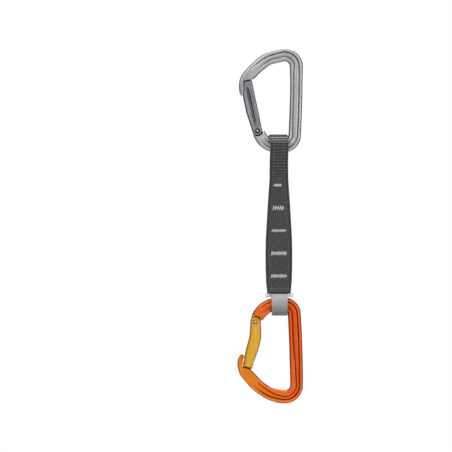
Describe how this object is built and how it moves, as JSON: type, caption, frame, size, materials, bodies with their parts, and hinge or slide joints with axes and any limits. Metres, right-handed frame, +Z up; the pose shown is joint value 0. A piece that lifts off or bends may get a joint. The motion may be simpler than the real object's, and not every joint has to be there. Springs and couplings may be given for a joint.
{
  "type": "climbing quickdraw",
  "caption": "Climbing quickdraw: straight-gate and bent-gate forged carabiners joined by a tapered sewn webbing sling, with a rubber keeper over the rope end",
  "frame": {"origin": "hang point: the inside of the upper carabiner's crown, where a bolt hanger bears", "axes": "+Z up along the hanging quickdraw, +Y towards its back, -X towards the gates"},
  "size_m": [0.0637, 0.0218, 0.3442],
  "materials": {
    "grey_anodised": "satin anodised, light grey",
    "violet_grey_anodised": "satin anodised, dark violet grey",
    "orange_anodised": "bright anodised, orange",
    "gold_anodised": "satin anodised, gold",
    "bright_steel": "bright",
    "dark_grey_webbing": "woven, ribbed across, matte",
    "light_grey_thread": "sewing thread, matte",
    "light_grey_rubber": "translucent, matte"
  },
  "bodies": {
    "upper_carabiner": {"upper_frame": "grey_anodised", "upper_gate_rivet": "bright_steel"},
    "upper_gate": {"upper_gate": "violet_grey_anodised", "upper_gate_spring": "bright_steel"},
    "upper_plunger": {"upper_gate_plunger": "bright_steel"},
    "sling": {"sling_webbing": "dark_grey_webbing", "bar_tack_1": "light_grey_thread", "bar_tack_2": "light_grey_thread", "bar_tack_3": "light_grey_thread", "bar_tack_4": "light_grey_thread", "bar_tack_5": "light_grey_thread", "rubber_keeper": "light_grey_rubber"},
    "lower_carabiner": {"lower_frame": "orange_anodised", "lower_gate_rivet": "bright_steel"},
    "lower_gate": {"lower_gate": "gold_anodised", "lower_gate_spring": "bright_steel"},
    "lower_plunger": {"lower_gate_plunger": "bright_steel"}
  },
  "joints": [
    {"name": "upper_gate_hinge", "type": "hinge", "parent": "upper_carabiner", "child": "upper_gate", "pos_m": [-0.0258, 0, -0.0675], "axis": [0, 1, 0], "range_deg": [0, 28], "stiffness_Nm_per_rad": 0.25, "springref_deg": -17.19},
    {"name": "upper_plunger_slide", "type": "slide", "parent": "upper_gate", "child": "upper_plunger", "axis": [-0.225, 0, 0.9744], "range_m": [0, 0.0014], "deforming": ["upper_gate_spring"]},
    {"name": "sling_swing", "type": "hinge", "parent": "upper_carabiner", "child": "sling", "pos_m": [-0.005, 0, -0.0816], "axis": [1, 0, 0], "range_deg": [-120, 120]},
    {"name": "lower_carabiner_swing", "type": "hinge", "parent": "sling", "child": "lower_carabiner", "pos_m": [-0.005, 0, -0.2354], "axis": [1, 0, 0], "range_deg": [-45, 45]},
    {"name": "lower_gate_hinge", "type": "hinge", "parent": "lower_carabiner", "child": "lower_gate", "pos_m": [-0.0276, 0, -0.2522], "axis": [0, -1, 0], "range_deg": [0, 30], "stiffness_Nm_per_rad": 0.25, "springref_deg": -17.19},
    {"name": "lower_plunger_slide", "type": "slide", "parent": "lower_gate", "child": "lower_plunger", "axis": [-0.0349, 0, -0.9994], "range_m": [0, 0.0014], "deforming": ["lower_gate_spring"]}
  ],
  "couplings": [
    {"joint": "upper_plunger_slide", "follows": "upper_gate_hinge", "m_per_rad": 0.00266},
    {"joint": "lower_plunger_slide", "follows": "lower_gate_hinge", "m_per_rad": 0.0026}
  ]
}
